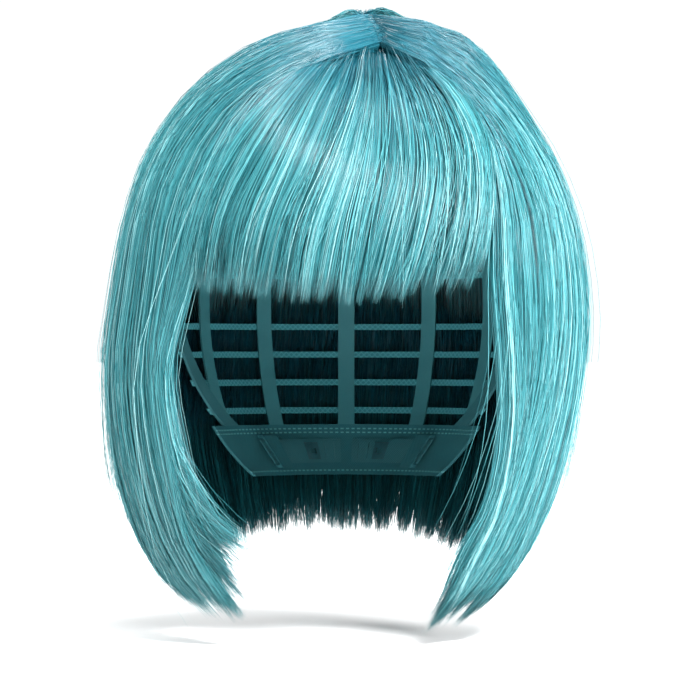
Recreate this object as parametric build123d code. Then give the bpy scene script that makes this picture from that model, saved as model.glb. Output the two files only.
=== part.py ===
from build123d import *
import math
import os

# A shoulder-clear bob wig with a full fringe, in millimetres. The wearer looks along -Y, +X is the
# wearer's left and +Z is up. The origin is the middle of the head at brow height.

# Head that the cap is sewn for: an ellipsoid, 545 mm round at the brow
HEAD_HALF_WIDTH = 76.0
HEAD_HALF_LENGTH = 95.0
HEAD_HEIGHT = 96.0

# Layers, counted outwards from the head
CLOTH = 1.0
TRACK = 1.0
STAY = 0.6
HAIR_FROM_HEAD = 2.4

# Cap outline, seen from the side as (y, z)
RIM_SLOPE_START = (-34.6, -3.4)
RIM_RISE = math.tan(math.radians(44.5))
BAND_WIDTH = 18.0
EAR_LINE = -3.4
CROWN_LINE = 50.0
LACE_BACK = 28.0
EAR_ARCH = [(-3.0, EAR_LINE), (5.0, 6.0), (20.0, 6.0), (LACE_BACK, 3.0)]
BINDING = [(LACE_BACK, 3.0), (48.0, -52.0), (56.0, -52.0), (36.0, 3.0)]
NAPE_TOP = -52.0
NAPE_BOTTOM = -73.0
NAPE_OVERLAP = 8.0
TAPE_HEIGHT = 5.0

# Ear tabs
TAB_GAP = 0.6
TAB_OUTLINE = [(-33.5, 0.0), (-26.0, -21.0), (-14.0, -21.0), (-6.5, 0.0)]
TAB_ROUND = 4.0
STAY_SPAN = (-21.5, -18.5)
STAY_LENGTH = 17.0
STAY_INSET = 1.5

# Patch that imitates scalp where the fringe and the crown part
SKIN_CENTRE = (13.0, -37.0)
SKIN_SIZE = (34.0, 52.0)
SKIN_ROUND = 12.0

# Sewn tracks that carry the hair
TRACK_HEIGHT = 2.6
BACK_TRACK_LEVELS = [-46.0, -34.0, -22.0, -10.0, 12.0, 22.0, 32.0, 42.0]
CROWN_TRACK_LEVELS = [58.0, 67.0, 76.0, 84.0]
FRINGE_TRACK_OFFSETS = [5.0, 12.0]
RIB_WIDTH = 7.0
RIB_ANGLES = [-46.0, -23.0, 0.0, 23.0, 46.0]

# Adjusters: they ride round an upright axis at the middle of the nape's curve
NAPE_AXIS_Y = 25.8
ADJUST_TOP = -58.0
ADJUST_BOTTOM = -68.0
LOOP_TAPE_DEPTH = (0.9, 1.4)
LOOP_DEPTH = (0.9, 2.3)
LOOP_TAPE_ANGLES = (3.0, 31.0)
LOOP_COUNT = 5
LOOP_PITCH = 5.5
LOOP_TURN = 1.6
LOOP_START = 2.0
LOOP_HALF_HEIGHT = 3.5
STRAP_DEPTH = (2.9, 3.8)
STRAP_ANGLES = (24.0, 52.0)
HOOK_TURN = 8.0
HOOK_EYE_TURN = 3.4
HOOK_MARGIN = 2.4
HOOK_INSET = 1.5
SLEEVE_BACK = 1.6
SLEEVE_DEPTH = (4.3, 5.0)
SLEEVE_ANGLES = (40.0, 50.0)
SLEEVE_LIP = 1.2
SLEEVE_GAP = 0.5
SLEEVE_CLEAR = 5.0

# Outside of the hair: height, half width, front, back
HAIR_OUTSIDE = [
    (-142.0, 40.0, -88.0, 62.0),
    (-120.0, 66.0, -96.0, 78.0),
    (-106.0, 77.0, -101.0, 88.0),
    (-86.0, 87.0, -105.0, 99.0),
    (-60.0, 95.0, -108.0, 109.0),
    (-25.0, 99.5, -110.0, 116.0),
    (0.0, 98.5, -110.0, 117.0),
    (30.0, 93.0, -107.0, 114.0),
    (57.0, 83.0, -96.0, 104.0),
    (77.0, 72.0, -81.0, 91.0),
    (92.0, 61.0, -63.0, 77.0),
    (106.0, 44.0, -38.0, 57.0),
    (114.0, 27.0, -14.0, 42.0),
    (119.0, 8.0, 8.0, 26.0),
]
# Space inside the hair below the head's widest ring: height, half width, front, back
HAIR_INSIDE = [
    (-145.0, 22.0, -70.0, 40.0),
    (-120.0, 50.0, -80.0, 55.0),
    (-106.0, 60.0, -86.0, 60.0),
    (-86.0, 71.0, -90.0, 66.0),
    (-60.0, 78.0, -94.0, 80.0),
    (-30.0, 81.5, -97.0, 94.0),
    (-8.0, 81.0, -98.0, 98.0),
    (4.0, 78.4, -97.3, 97.3),
]
DIVIDE = 0.0
FRINGE_TOP = 78.0
FRINGE_HEM = 1.0
FRINGE_HALF_WIDTH = 62.0
FRINGE_BACK = -60.0
FRINGE_LIFT = 36.0
BACK_DIVIDE = 45.0
PART_GAP = 0.5
HEM_SLOPE = 0.2
HEM_LEFT = -121.5
HEM_RIGHT = -110.0
HEM_BACK = -120.0
# Outline of the face opening between the side curtains, as (x, z)
FACE_OPENING = [(63.5, 4.0), (63.0, -73.0), (54.0, -105.0), (34.0, -145.0)]
REACH = 260.0


def head_form(offset):
    """The head's ellipsoid, grown by an offset."""
    height = HEAD_HEIGHT + offset
    ratio_x = (HEAD_HALF_WIDTH + offset) / height
    ratio_y = (HEAD_HALF_LENGTH + offset) / height
    return scale(Sphere(height), by=(ratio_x, ratio_y, 1.0))


def layer(inner, outer):
    """A shell between two offsets from the head."""
    return head_form(outer) - head_form(inner)


def side_prism(points, radius=0.0):
    """A prism across the whole width, from an outline seen from the side."""
    face = make_face(Polyline(*points, close=True))
    if radius:
        face = fillet(face.vertices(), radius)
    return extrude(Plane.YZ * face, amount=REACH / 2, both=True)


def slab(low, high):
    """Everything between two heights."""
    return Pos(0, 0, (low + high) / 2) * Box(REACH, REACH, high - low)


def half_space(axis, low, high):
    """A big box between two values along x or y."""
    width = high - low
    middle = (low + high) / 2
    if axis == "x":
        return Pos(middle, 0, 0) * Box(width, 2 * REACH, 2 * REACH)
    return Pos(0, middle, 0) * Box(2 * REACH, width, 2 * REACH)


def left_of(shape):
    """The wearer's left half of a shape."""
    return shape & half_space("x", 0, REACH)


def rim_y(z, inset=0.0):
    """Where the front rim, or a line parallel to it, stands at a height, seen from the side."""
    run = inset / math.sin(math.atan(RIM_RISE))
    return RIM_SLOPE_START[0] - (z - RIM_SLOPE_START[1]) / RIM_RISE + run


def band_prism(inset_low, inset_high):
    """A strip parallel to the front rim, from the ear line to over the forehead."""
    top = REACH / 2
    points = [
        (rim_y(EAR_LINE, inset_low), EAR_LINE),
        (rim_y(EAR_LINE, inset_high), EAR_LINE),
        (rim_y(top, inset_high), top),
        (rim_y(top, inset_low), top),
    ]
    return side_prism(points)


def cone_strip(depth, angles, low=ADJUST_BOTTOM, high=ADJUST_TOP):
    """A strip that lines the nape, turned about the nape's own axis, so that it can slide round it."""
    profile = []
    for z, inset in ((low, depth[0]), (high, depth[0]), (high, depth[1]), (low, depth[1])):
        wall = HEAD_HALF_LENGTH * math.sqrt(1 - (z / HEAD_HEIGHT) ** 2) - NAPE_AXIS_Y
        profile.append((wall - inset, z))
    face = Plane.XZ * make_face(Polyline(*profile, close=True))
    turned = revolve(face, Axis.Z, revolution_arc=angles[1] - angles[0])
    return Pos(0, NAPE_AXIS_Y, 0) * Rot(0, 0, 90 - angles[1]) * turned


def ellipse_section(height, half_width, front, back):
    """A level ellipse at a height."""
    place = Pos(0, (front + back) / 2, height)
    return place * Ellipse(half_width, (back - front) / 2)


def lofted(sections):
    """A smooth solid through level ellipses."""
    return loft([ellipse_section(*section) for section in sections])


def hem_cut(level):
    """Everything below a hem that rises towards the nape."""
    ends = [(-REACH, level - HEM_SLOPE * REACH), (REACH, level + HEM_SLOPE * REACH)]
    return side_prism(ends + [(REACH, -REACH), (-REACH, -REACH)])


def build_cap(parts):
    """The sewn cap: front band, crown, lace, tapes, nape band and back ribs."""
    cloth = layer(0, CLOTH)
    top = REACH / 2
    parts["front_band"] = cloth & band_prism(0, BAND_WIDTH)
    behind_band = [
        (rim_y(top, BAND_WIDTH), top),
        (rim_y(CROWN_LINE, BAND_WIDTH), CROWN_LINE),
        (top, CROWN_LINE),
        (top, top),
    ]
    crown = cloth & side_prism(behind_band)
    patch = RectangleRounded(*SKIN_SIZE, SKIN_ROUND)
    punch = Pos(*SKIN_CENTRE, 0) * extrude(patch, amount=REACH)
    parts["skin_top"] = crown & punch
    parts["crown_net"] = crown - punch
    lace = [
        (rim_y(CROWN_LINE, BAND_WIDTH), CROWN_LINE),
        (rim_y(EAR_LINE, BAND_WIDTH), EAR_LINE),
        *EAR_ARCH,
        (LACE_BACK, CROWN_LINE),
    ]
    parts["side_lace_left"] = left_of(cloth & side_prism(lace))
    behind_lace = slab(CROWN_LINE - TAPE_HEIGHT, CROWN_LINE) & half_space("y", LACE_BACK, REACH)
    parts["crown_tape"] = cloth & behind_lace
    parts["rear_binding_left"] = left_of(cloth & side_prism(BINDING))
    nape = slab(NAPE_BOTTOM, NAPE_TOP) & half_space("y", BINDING[1][0] - NAPE_OVERLAP, REACH)
    parts["nape_band"] = cloth & nape
    behind_binding = [
        (LACE_BACK, CROWN_LINE - TAPE_HEIGHT),
        (LACE_BACK, BINDING[3][1]),
        BINDING[3],
        BINDING[2],
        (top, NAPE_TOP),
        (top, CROWN_LINE - TAPE_HEIGHT),
    ]
    back = cloth & side_prism(behind_binding)
    for number, angle in enumerate(RIB_ANGLES, 1):
        strip = Rot(0, 0, -angle) * Pos(0, REACH / 2, 0) * Box(RIB_WIDTH, REACH, REACH)
        parts[f"back_rib_{number}"] = back & strip


def build_tracks(parts):
    """The narrow tracks, sewn to the outside of the cap, that the hair hangs from."""
    sewn = layer(CLOTH, CLOTH + TRACK)
    top = REACH / 2
    covered = side_prism([
        (rim_y(top, BAND_WIDTH), top),
        (rim_y(EAR_LINE, BAND_WIDTH), EAR_LINE),
        *EAR_ARCH,
        BINDING[1],
        (top, NAPE_TOP),
        (top, top),
    ])
    carrying = sewn & covered
    for number, level in enumerate(BACK_TRACK_LEVELS, 1):
        ring = slab(level - TRACK_HEIGHT / 2, level + TRACK_HEIGHT / 2)
        parts[f"back_track_{number}"] = carrying & ring
    for number, level in enumerate(CROWN_TRACK_LEVELS, 1):
        ring = slab(level - TRACK_HEIGHT / 2, level + TRACK_HEIGHT / 2)
        parts[f"crown_track_{number}"] = carrying & ring
    for number, inset in enumerate(FRINGE_TRACK_OFFSETS, 1):
        strip = band_prism(inset, inset + TRACK_HEIGHT)
        parts[f"fringe_track_{number}"] = sewn & strip


def build_ear_tab(parts):
    """The tab before the left ear, with its spring stay."""
    drop = EAR_LINE - TAB_GAP
    outline = [(y, z + drop) for y, z in TAB_OUTLINE]
    blank = make_face(Polyline(*outline, close=True))
    tips = blank.vertices().sort_by(Axis.Y)[:2]
    prism = extrude(Plane.YZ * fillet(tips, TAB_ROUND), amount=REACH / 2, both=True)
    parts["ear_tab_left"] = left_of(layer(0, CLOTH) & prism)
    high = drop - STAY_INSET
    low = high - STAY_LENGTH
    front, back = STAY_SPAN
    stay = [(front, low), (back, low), (back, high), (front, high)]
    parts["ear_stay_left"] = left_of(layer(CLOTH, CLOTH + STAY) & side_prism(stay))


def build_adjuster(parts):
    """The left adjuster at the nape: a tape with loops, and a strap with a hook in its sleeve."""
    middle = (ADJUST_TOP + ADJUST_BOTTOM) / 2
    tape = cone_strip(LOOP_TAPE_DEPTH, LOOP_TAPE_ANGLES)
    for step in range(LOOP_COUNT):
        start = LOOP_TAPE_ANGLES[0] + LOOP_START + LOOP_PITCH * step
        span = (start, start + LOOP_TURN)
        tape += cone_strip(LOOP_DEPTH, span, middle - LOOP_HALF_HEIGHT, middle + LOOP_HALF_HEIGHT)
    parts["loop_tape_left"] = tape
    parts["strap_left"] = cone_strip(STRAP_DEPTH, STRAP_ANGLES)
    first = STRAP_ANGLES[0] - HOOK_TURN
    low, high = ADJUST_BOTTOM + HOOK_INSET, ADJUST_TOP - HOOK_INSET
    hook = cone_strip(STRAP_DEPTH, (first, STRAP_ANGLES[0]), low, high)
    eye = (first + HOOK_EYE_TURN / 2, first + 1.5 * HOOK_EYE_TURN)
    wide = (STRAP_DEPTH[0] - 1, STRAP_DEPTH[1] + 1)
    hook -= cone_strip(wide, eye, low + HOOK_MARGIN, high - HOOK_MARGIN)
    parts["hook_left"] = hook
    low, high = ADJUST_BOTTOM - SLEEVE_GAP, ADJUST_TOP + SLEEVE_GAP
    outer = cone_strip((SLEEVE_BACK, SLEEVE_DEPTH[1]), SLEEVE_ANGLES, low - SLEEVE_LIP, high + SLEEVE_LIP)
    through = (SLEEVE_ANGLES[0] - SLEEVE_CLEAR, SLEEVE_ANGLES[1] + SLEEVE_CLEAR)
    inner = cone_strip((PART_GAP, SLEEVE_DEPTH[0]), through, low, high)
    parts["strap_sleeve_left"] = outer - inner


def build_hair(parts):
    """The hair's own solids: the parts that swing and the crown that they hang from."""
    whole = lofted(HAIR_OUTSIDE) - head_form(HAIR_FROM_HEAD)
    above = whole & slab(DIVIDE + PART_GAP, REACH)
    below = (whole - lofted(HAIR_INSIDE)) & slab(-REACH, DIVIDE - PART_GAP)
    # The crown is notched over the fringe, which turns about its own top edge at the cap
    swing = REACH * math.tan(math.radians(FRINGE_LIFT))
    far = FRINGE_BACK - REACH
    notch = side_prism([(FRINGE_BACK, FRINGE_TOP), (far, FRINGE_TOP), (far, FRINGE_TOP + swing)])
    middle = half_space("x", -FRINGE_HALF_WIDTH - PART_GAP, FRINGE_HALF_WIDTH + PART_GAP)
    parts["hair_crown"] = (above & slab(FRINGE_TOP + PART_GAP, REACH)) - (notch & middle)
    ring = above & slab(DIVIDE, FRINGE_TOP)
    front = half_space("x", -FRINGE_HALF_WIDTH, FRINGE_HALF_WIDTH)
    front &= half_space("y", -REACH, FRINGE_BACK - PART_GAP)
    parts["hair_fringe"] = ring & front & slab(FRINGE_HEM, FRINGE_TOP)
    sides = (ring - (middle & half_space("y", -REACH, FRINGE_BACK))) & half_space("y", -REACH, BACK_DIVIDE)
    parts["hair_side_upper_left"] = left_of(sides)
    parts["hair_side_upper_right"] = mirror(parts["hair_side_upper_left"], about=Plane.YZ)
    parts["hair_back_upper"] = ring & half_space("y", BACK_DIVIDE, REACH)
    outline = FACE_OPENING + [(-x, z) for x, z in reversed(FACE_OPENING)]
    opening = Plane.XZ * make_face(Polyline(*outline, close=True))
    curtains = below - extrude(opening, amount=REACH)
    curtains &= half_space("y", -REACH, BACK_DIVIDE - PART_GAP)
    parts["hair_side_left"] = (curtains & half_space("x", 0, REACH)) - hem_cut(HEM_LEFT)
    parts["hair_side_right"] = (curtains & half_space("x", -REACH, 0)) - hem_cut(HEM_RIGHT)
    parts["hair_back"] = (below & half_space("y", BACK_DIVIDE + PART_GAP, REACH)) - hem_cut(HEM_BACK)


def main():
    parts = {}
    build_cap(parts)
    build_tracks(parts)
    build_ear_tab(parts)
    build_adjuster(parts)
    for name in [name for name in parts if name.endswith("_left")]:
        parts[name.replace("_left", "_right")] = mirror(parts[name], about=Plane.YZ)
    build_hair(parts)
    os.makedirs("parts", exist_ok=True)
    for name, shape in parts.items():
        export_step(shape, f"parts/{name}.step")


main()
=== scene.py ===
"""Looks of a bob wig with a full fringe: hair as combed strands, a sewn cap and its adjusters."""

import logging
import math
from dataclasses import dataclass, field
from enum import Enum
from typing import Any, Iterable, Sequence

import bmesh
import bpy
import numpy as np
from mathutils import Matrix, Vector
from mathutils.bvhtree import BVHTree


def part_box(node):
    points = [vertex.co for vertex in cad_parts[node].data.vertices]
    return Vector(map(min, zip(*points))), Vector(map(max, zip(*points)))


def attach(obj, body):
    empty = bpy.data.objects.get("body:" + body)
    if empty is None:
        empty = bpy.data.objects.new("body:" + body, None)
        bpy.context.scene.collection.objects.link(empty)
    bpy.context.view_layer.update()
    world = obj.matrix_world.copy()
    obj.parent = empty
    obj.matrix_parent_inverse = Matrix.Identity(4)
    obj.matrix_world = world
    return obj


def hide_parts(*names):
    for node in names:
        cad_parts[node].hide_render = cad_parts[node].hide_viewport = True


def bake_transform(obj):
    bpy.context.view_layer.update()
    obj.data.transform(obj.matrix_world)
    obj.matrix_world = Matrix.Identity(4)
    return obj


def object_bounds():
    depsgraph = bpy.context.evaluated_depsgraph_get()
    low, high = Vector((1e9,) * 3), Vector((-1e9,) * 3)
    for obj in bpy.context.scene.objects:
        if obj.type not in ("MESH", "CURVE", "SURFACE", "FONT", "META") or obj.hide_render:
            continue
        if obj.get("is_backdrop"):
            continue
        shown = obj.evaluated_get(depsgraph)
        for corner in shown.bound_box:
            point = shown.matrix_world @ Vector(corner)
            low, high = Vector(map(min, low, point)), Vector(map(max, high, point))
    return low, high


LOG = logging.getLogger("wig")
MM = 0.001
FIBRE_MAP = "OFBake"
CLOUD = 90.0
FUZZ = 2600.0

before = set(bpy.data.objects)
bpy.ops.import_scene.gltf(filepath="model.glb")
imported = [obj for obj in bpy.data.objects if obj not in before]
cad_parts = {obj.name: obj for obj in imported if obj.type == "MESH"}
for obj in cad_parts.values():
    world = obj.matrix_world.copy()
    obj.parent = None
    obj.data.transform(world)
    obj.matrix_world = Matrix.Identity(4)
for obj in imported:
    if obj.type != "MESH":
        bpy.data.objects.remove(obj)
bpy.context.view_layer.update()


# ---------------------------------------------------------------------------------------------
# Shader maths
# ---------------------------------------------------------------------------------------------


class Signal:
    """One output socket of a node, which Python's operators turn into Math nodes."""

    def __init__(self, bench: "Bench", socket: bpy.types.NodeSocket) -> None:
        """Args: bench, the material being made; socket, the output that this stands for."""
        self.bench = bench
        self.socket = socket

    def _math(self, operation: str, *values: Any) -> "Signal":
        """Returns: the result of a Math node on the values."""
        inputs = dict(enumerate(values))
        return self.bench.node("ShaderNodeMath", {"operation": operation}, inputs)

    def __add__(self, other: Any) -> "Signal":
        """Returns: self + other."""
        return self._math("ADD", self, other)

    __radd__ = __add__

    def __mul__(self, other: Any) -> "Signal":
        """Returns: self * other."""
        return self._math("MULTIPLY", self, other)

    __rmul__ = __mul__

    def __sub__(self, other: Any) -> "Signal":
        """Returns: self - other."""
        return self._math("SUBTRACT", self, other)

    def __rsub__(self, other: Any) -> "Signal":
        """Returns: other - self."""
        return self._math("SUBTRACT", other, self)

    def ramp(self, low: float, high: float) -> "Signal":
        """Returns: 0 below low, 1 above high and a smooth rise between."""
        values = {"Value": self, "From Min": low, "From Max": high}
        return self.bench.node("ShaderNodeMapRange", {"interpolation_type": "SMOOTHSTEP"}, values)

    def size(self) -> "Signal":
        """Returns: self without its sign."""
        return self._math("ABSOLUTE", self)

    def turned(self, other: "Signal") -> "Signal":
        """Returns: the angle of the point (other, self), in radians."""
        return self._math("ARCTAN2", self, other)

    def wave(self, turns: float) -> "Signal":
        """Returns: a sine of self, from 0 to 1, with the given number of turns per unit."""
        return self._math("SINE", self * (turns * math.tau)) * 0.5 + 0.5


class Bench:
    """Makes one material's nodes."""

    def __init__(self, name: str) -> None:
        """Args: name, the material's name."""
        self.material = bpy.data.materials.new(name)
        self.material.use_nodes = True
        self.tree = self.material.node_tree
        self.tree.nodes.clear()

    def node(
        self,
        kind: str,
        settings: dict[str, Any] | None = None,
        inputs: dict[Any, Any] | None = None,
        output: str | int = 0,
    ) -> Signal:
        """Adds any node.

        Args:
            kind: the node's type.
            settings: its own properties; "stops" are a colour ramp's (place, colour) pairs.
            inputs: a value or a Signal for each input, by name or number.
            output: which output the result stands for.

        Returns:
            The chosen output as a Signal.
        """
        made = self.tree.nodes.new(kind)
        for key, value in (settings or {}).items():
            if key == "stops":
                self._set_stops(made.color_ramp, value)
            else:
                setattr(made, key, value)
        for key, value in (inputs or {}).items():
            if isinstance(value, Signal):
                self.tree.links.new(value.socket, made.inputs[key])
            else:
                made.inputs[key].default_value = value
        return Signal(self, made.outputs[output])

    @staticmethod
    def _set_stops(ramp: bpy.types.ColorRamp, stops: Sequence[tuple[float, tuple]]) -> None:
        """Args: ramp, a colour ramp; stops, its (place, rgb) pairs in order."""
        while len(ramp.elements) < len(stops):
            ramp.elements.new(1.0)
        for element, (place, colour) in zip(ramp.elements, stops):
            element.position = place
            element.color = (*colour, 1.0)

    def mix(self, factor: Any, low: Any, high: Any) -> Signal:
        """Returns: the colour between low and high at a factor."""
        pair = [(*c, 1.0) if isinstance(c, tuple) and len(c) == 3 else c for c in (low, high)]
        values = {0: factor, 6: pair[0], 7: pair[1]}
        return self.node("ShaderNodeMix", {"data_type": "RGBA"}, values, 2)

    def noise(self, scale: float) -> Signal:
        """Returns: soft noise from 0 to 1 with the given number of lumps to a metre."""
        place = self.node("ShaderNodeTexCoord", None, None, "Object")
        return self.node("ShaderNodeTexNoise", None, {"Vector": place, "Scale": scale, "Detail": 3.0}, 0)

    def bump(self, height: Signal, relief: float) -> Signal:
        """Returns: a normal for a height from 0 to 1 that stands relief metres proud."""
        return self.node("ShaderNodeBump", None, {"Height": height, "Distance": relief, "Strength": 0.8})

    def finish(self, surface: Signal) -> bpy.types.Material:
        """Returns: the material, with the surface joined to its output."""
        out = self.tree.nodes.new("ShaderNodeOutputMaterial")
        self.tree.links.new(surface.socket, out.inputs["Surface"])
        return self.material

    def principled(self, **inputs: Any) -> Signal:
        """Returns: a Principled BSDF; underscores in the names stand for spaces."""
        named = {key.replace("_", " "): value for key, value in inputs.items()}
        return self.node("ShaderNodeBsdfPrincipled", None, named)


@dataclass(frozen=True)
class FibreFinish:
    """Shiny straight synthetic fibre, coloured by each strand's tone and the place along it."""

    name: str = "hair_fibre"
    deep: tuple = (0.002, 0.034, 0.042)
    shade: tuple = (0.006, 0.088, 0.106)
    body: tuple = (0.020, 0.185, 0.212)
    light: tuple = (0.085, 0.350, 0.385)
    pale: tuple = (0.360, 0.660, 0.680)
    # bluish root colour; near the parting it is also painted shade, stretched further down the fringe
    root: tuple = (0.005, 0.085, 0.135)
    roughness: float = 0.28

    def make(self) -> bpy.types.Material:
        """Returns: the material; it reads the map that every strand carries."""
        bench = Bench(self.name)
        place = bench.node("ShaderNodeUVMap", {"uv_map": FIBRE_MAP})
        tone = bench.node("ShaderNodeSeparateXYZ", None, {0: place}, 0)
        along = bench.node("ShaderNodeSeparateXYZ", None, {0: place}, 1)
        shades = (self.deep, self.shade, self.body, self.light, self.pale)
        stops = list(zip((0.0, 0.28, 0.55, 0.82, 1.0), shades))
        lifted = tone + along.ramp(0.1, 1.0) * 0.08
        colour = bench.node("ShaderNodeValToRGB", {"stops": stops}, {0: lifted})
        # the root tint, strongest at the root: partly the fibre's bluish root colour, partly painted shade
        root_tint_and_shade = (1 - along.ramp(0.02, 0.36)) * 0.70
        shaded = bench.mix(root_tint_and_shade, colour, self.root)
        surface = bench.principled(
            Base_Color=shaded,
            Roughness=self.roughness,
            Specular_IOR_Level=0.5,
        )
        return bench.finish(surface)


@dataclass(frozen=True)
class WovenFinish:
    """A woven, knitted or ribbed cloth. Lengths are in metres."""

    name: str
    ground: tuple
    thread: tuple
    across: float = 0.9 * MM
    along: float = 0.9 * MM
    relief: float = 0.00012
    roughness: float = 0.82
    radius: float = 86 * MM

    def _axes(self, bench: Bench) -> tuple[Signal, Signal]:
        """Returns: the distances round the head and up it, in metres."""
        place = bench.node("ShaderNodeTexCoord", None, None, "Object")
        x, y, z = (bench.node("ShaderNodeSeparateXYZ", None, {0: place}, k) for k in range(3))
        return x.turned(y) * self.radius, z

    def _weave(self, u: Signal, v: Signal) -> Signal:
        """Returns: the height of crossing threads, from 0 to 1, at distances over the cloth."""
        warp, weft = u.wave(1 / self.across), v.wave(1 / self.along)
        return warp * weft + (1 - warp) * (1 - weft)

    def _ground(self, bench: Bench, weave: Signal, fuzz: Signal) -> Signal:
        """Returns: the woven colour between ground and thread, with soft clouds and fuzz."""
        share = weave * 0.55 + bench.noise(CLOUD) * 0.35 + fuzz * 0.30 - 0.10
        return bench.mix(share, self.ground, self.thread)

    def make(self) -> bpy.types.Material:
        """Returns: the material."""
        bench = Bench(self.name)
        weave = self._weave(*self._axes(bench))
        fuzz = bench.noise(FUZZ)
        surface = bench.principled(
            Base_Color=self._ground(bench, weave, fuzz),
            Roughness=self.roughness - weave * 0.12,
            Normal=bench.bump(weave + fuzz * 0.5, self.relief),
            Specular_IOR_Level=0.35,
        )
        return bench.finish(surface)


@dataclass(frozen=True)
class StitchedFinish(WovenFinish):
    """A hair track: a narrow tape under rows of slanting machine stitches."""

    stitch: float = 2.2 * MM
    cord: tuple = (0.10, 0.46, 0.52)

    def make(self) -> bpy.types.Material:
        """Returns: the material."""
        bench = Bench(self.name)
        u, v = self._axes(bench)
        rising = (u + v).wave(1 / self.stitch).ramp(0.72, 0.95)
        falling = (u - v).wave(1 / self.stitch).ramp(0.72, 0.95)
        threads = rising + falling - rising * falling
        fuzz = bench.noise(2400.0)
        ground = bench.mix(fuzz * 0.8, self.ground, self.thread)
        surface = bench.principled(
            Base_Color=bench.mix(threads * (0.65 + fuzz * 0.35), ground, self.cord),
            Roughness=self.roughness - threads * 0.25,
            Normal=bench.bump(threads + fuzz * 0.3, self.relief),
            Specular_IOR_Level=0.4,
        )
        return bench.finish(surface)


@dataclass(frozen=True)
class HemmedFinish(WovenFinish):
    """Woven cloth with rows of running stitch at given heights."""

    rows: tuple[float, ...] = ()
    stitch: float = 2.6 * MM
    half_row: float = 0.35 * MM
    cotton: tuple = (0.160, 0.560, 0.600)

    def make(self) -> bpy.types.Material:
        """Returns: the material."""
        bench = Bench(self.name)
        u, v = self._axes(bench)
        weave = self._weave(u, v)
        fuzz = bench.noise(FUZZ)
        dashes = u.wave(1 / self.stitch).ramp(0.30, 0.45)
        rows: Signal | float = 0.0
        for height in self.rows:
            rows = rows + (1 - (v - height).size().ramp(self.half_row * 0.6, self.half_row))
        thread = rows * dashes
        surface = bench.principled(
            Base_Color=bench.mix(thread, self._ground(bench, weave, fuzz), self.cotton),
            Roughness=self.roughness - weave * 0.12,
            Normal=bench.bump(weave * 0.4 + thread * 1.5 + fuzz * 0.3, self.relief),
            Specular_IOR_Level=0.35,
        )
        return bench.finish(surface)


@dataclass(frozen=True)
class CoatedFinish:
    """Thin coated cloth that looks like scalp, with a speck at each knotted root."""

    name: str = "scalp_patch"
    skin: tuple = (0.560, 0.360, 0.245)
    warm: tuple = (0.640, 0.430, 0.310)
    speck: tuple = (0.090, 0.240, 0.270)

    def make(self) -> bpy.types.Material:
        """Returns: the material."""
        bench = Bench(self.name)
        place = bench.node("ShaderNodeTexCoord", None, None, "Object")
        spots = bench.node("ShaderNodeTexVoronoi", None, {"Vector": place, "Scale": 620.0}, "Distance")
        cloud = bench.noise(160.0)
        knots = 1 - spots.ramp(0.16, 0.30)
        ground = bench.mix(cloud, self.skin, self.warm)
        surface = bench.principled(
            Base_Color=bench.mix(knots * 0.85, ground, self.speck),
            Roughness=0.46 + cloud * 0.2,
            Normal=bench.bump(knots + cloud, 0.00008),
        )
        return bench.finish(surface)


@dataclass(frozen=True)
class HardFinish:
    """A small metal or moulded piece with a fine grain and soft clouds of wear."""

    name: str
    body: tuple
    worn: tuple
    metallic: float
    roughness: float
    grain: float

    def make(self) -> bpy.types.Material:
        """Returns: the material."""
        bench = Bench(self.name)
        grain = bench.noise(self.grain)
        cloud = bench.noise(120.0)
        surface = bench.principled(
            Base_Color=bench.mix(grain * 0.5 + cloud.ramp(0.45, 0.8) * 0.5, self.body, self.worn),
            Roughness=self.roughness + cloud * 0.18,
            Metallic=self.metallic,
            Normal=bench.bump(grain, 0.00002),
        )
        return bench.finish(surface)


# ---------------------------------------------------------------------------------------------
# The surfaces that the hair lies between
# ---------------------------------------------------------------------------------------------


@dataclass(frozen=True)
class Section:
    """A level slice through the hair, an ellipse, in millimetres; shift is its middle's x."""

    height: float
    half_width: float
    front: float
    back: float
    shift: float = 0.0


OUTSIDE = (
    Section(-142, 36, -88, 62, -4),
    Section(-122, 60, -96, 78, -4),
    Section(-106, 75.5, -101, 88, -4),
    Section(-86, 86, -105, 99, -3.5),
    Section(-60, 93.5, -108, 109, -2.5),
    Section(-25, 97.8, -110, 116, -0.5),
    Section(0, 97, -110, 117, 1.6),
    Section(30, 92.7, -107, 114, 2),
    Section(57, 84, -96, 104, 1.4),
    Section(77, 72.3, -81, 91, 1.4),
    Section(92, 61, -63, 77, 3.5),
    Section(106, 45.5, -38, 57, 8),
    Section(112, 32, -20, 46, 11.5),
    Section(116, 18, -4, 34, 13),
    Section(117.8, 7, 7, 24, 10),
    Section(118.1, 0.5, 15, 17, 9),
)
INSIDE = (
    Section(-145, 22, -70, 40),
    Section(-120, 50, -80, 55),
    Section(-106, 60, -86, 60),
    Section(-86, 71, -90, 66),
    Section(-60, 78, -94, 80),
    Section(-30, 81.5, -97, 94),
    Section(-8, 81, -98, 98),
    Section(4, 78.4, -97.3, 97.3),
)


def smooth(value: np.ndarray) -> np.ndarray:
    """Returns: a smooth step from 0 to 1."""
    clipped = np.clip(value, 0.0, 1.0)
    return clipped * clipped * (3.0 - 2.0 * clipped)


def spline(points: np.ndarray, count: int) -> np.ndarray:
    """Resamples rows of control points with a Catmull-Rom curve.

    Args:
        points: control points, one per row.
        count: how many points to return.

    Returns:
        The curve's points, one per row.
    """
    padded = np.concatenate([2 * points[:1] - points[1:2], points, 2 * points[-1:] - points[-2:-1]])
    place = np.linspace(0, len(points) - 1, count)
    index = np.minimum(place.astype(int), len(points) - 2)
    t = (place - index).reshape(-1, *([1] * (points.ndim - 1)))
    a, b, c, d = (padded[index + k] for k in range(4))
    cubic = (3 * b - a - 3 * c + d) * t + (2 * a - 5 * b + 4 * c - d)
    return 0.5 * ((cubic * t + (c - a)) * t + 2 * b)


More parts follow.
